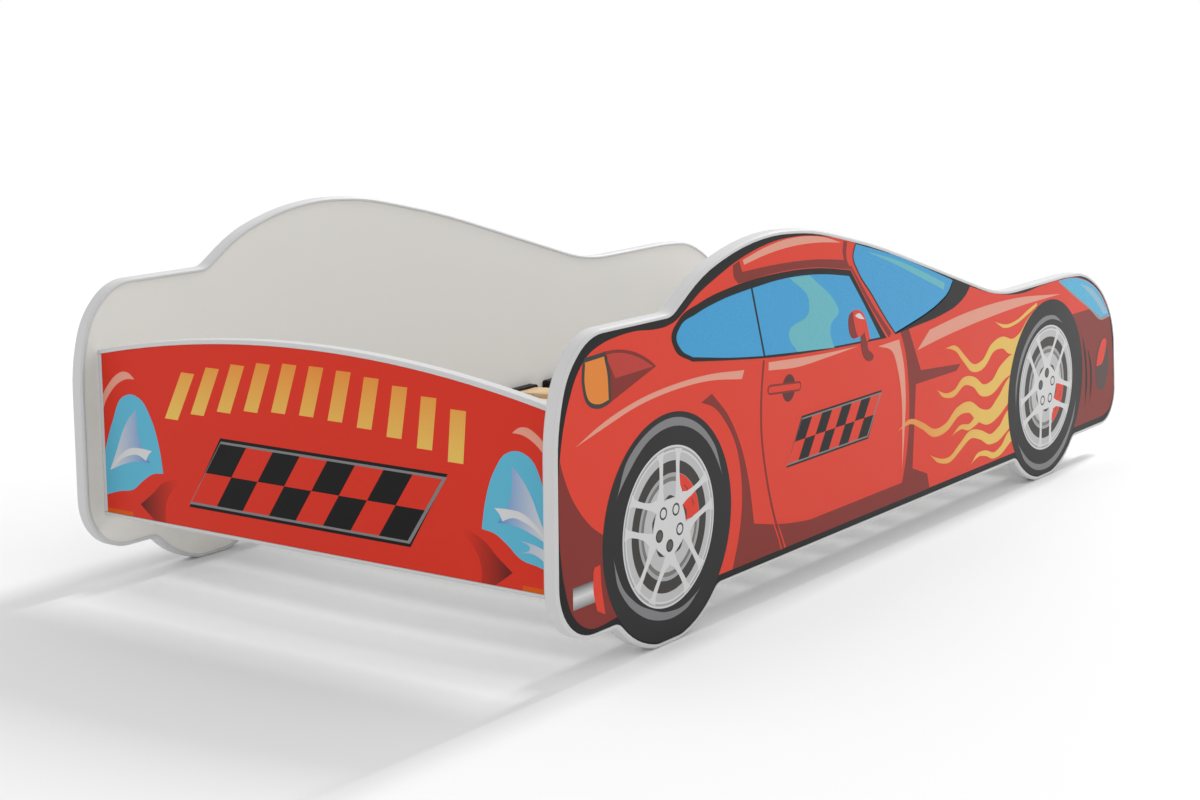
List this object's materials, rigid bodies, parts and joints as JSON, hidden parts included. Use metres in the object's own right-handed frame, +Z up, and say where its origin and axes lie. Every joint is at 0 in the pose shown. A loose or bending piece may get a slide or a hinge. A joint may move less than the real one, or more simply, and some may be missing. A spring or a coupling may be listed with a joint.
{
  "type": "car bed",
  "caption": "Children's bed shaped as a racing car: two car-shaped side panels, arched end panels and sprung slats in moulded cradles.",
  "frame": {"origin": "on the floor, under the middle of the bed", "axes": "+X towards the nose of the car, +Y towards its left side, +Z up"},
  "size_m": [1.506, 0.744, 0.4531],
  "materials": {
    "inner_laminate": "satin white laminate on particle board",
    "white_edging": "satin",
    "red_print": "satin printed film",
    "pine": "planed, unvarnished",
    "bentwood": "sanded birch",
    "beech": "fluted",
    "black_cradle": "moulded, matte",
    "screw_steel": "zinc plated",
    "cam_zinc": "die cast"
  },
  "bodies": {
    "root": {"right_side_board": "inner_laminate", "right_side_edging": "white_edging", "right_side_print": "red_print", "left_side_board": "inner_laminate", "left_side_edging": "white_edging", "left_side_print": "red_print", "right_slat_rail": "pine", "right_slat_cradles": "black_cradle", "right_rail_screws": "screw_steel", "left_slat_rail": "pine", "left_slat_cradles": "black_cradle", "left_rail_screws": "screw_steel", "rear_end_board": "inner_laminate", "rear_top_edging": "white_edging", "rear_bottom_edging": "white_edging", "rear_end_print": "red_print", "rear_cam_locks": "cam_zinc", "rear_cam_bolts": "screw_steel", "rear_dowels": "beech", "nose_end_board": "inner_laminate", "nose_top_edging": "white_edging", "nose_bottom_edging": "white_edging", "nose_end_print": "red_print", "nose_cam_locks": "cam_zinc", "nose_cam_bolts": "screw_steel", "nose_dowels": "beech", "slat_01": "bentwood", "slat_02": "bentwood", "slat_03": "bentwood", "slat_04": "bentwood", "slat_05": "bentwood", "slat_06": "bentwood", "slat_07": "bentwood", "slat_08": "bentwood", "slat_09": "bentwood", "slat_10": "bentwood", "slat_11": "bentwood", "slat_12": "bentwood", "slat_13": "bentwood", "slat_14": "bentwood"}
  },
  "joints": []
}
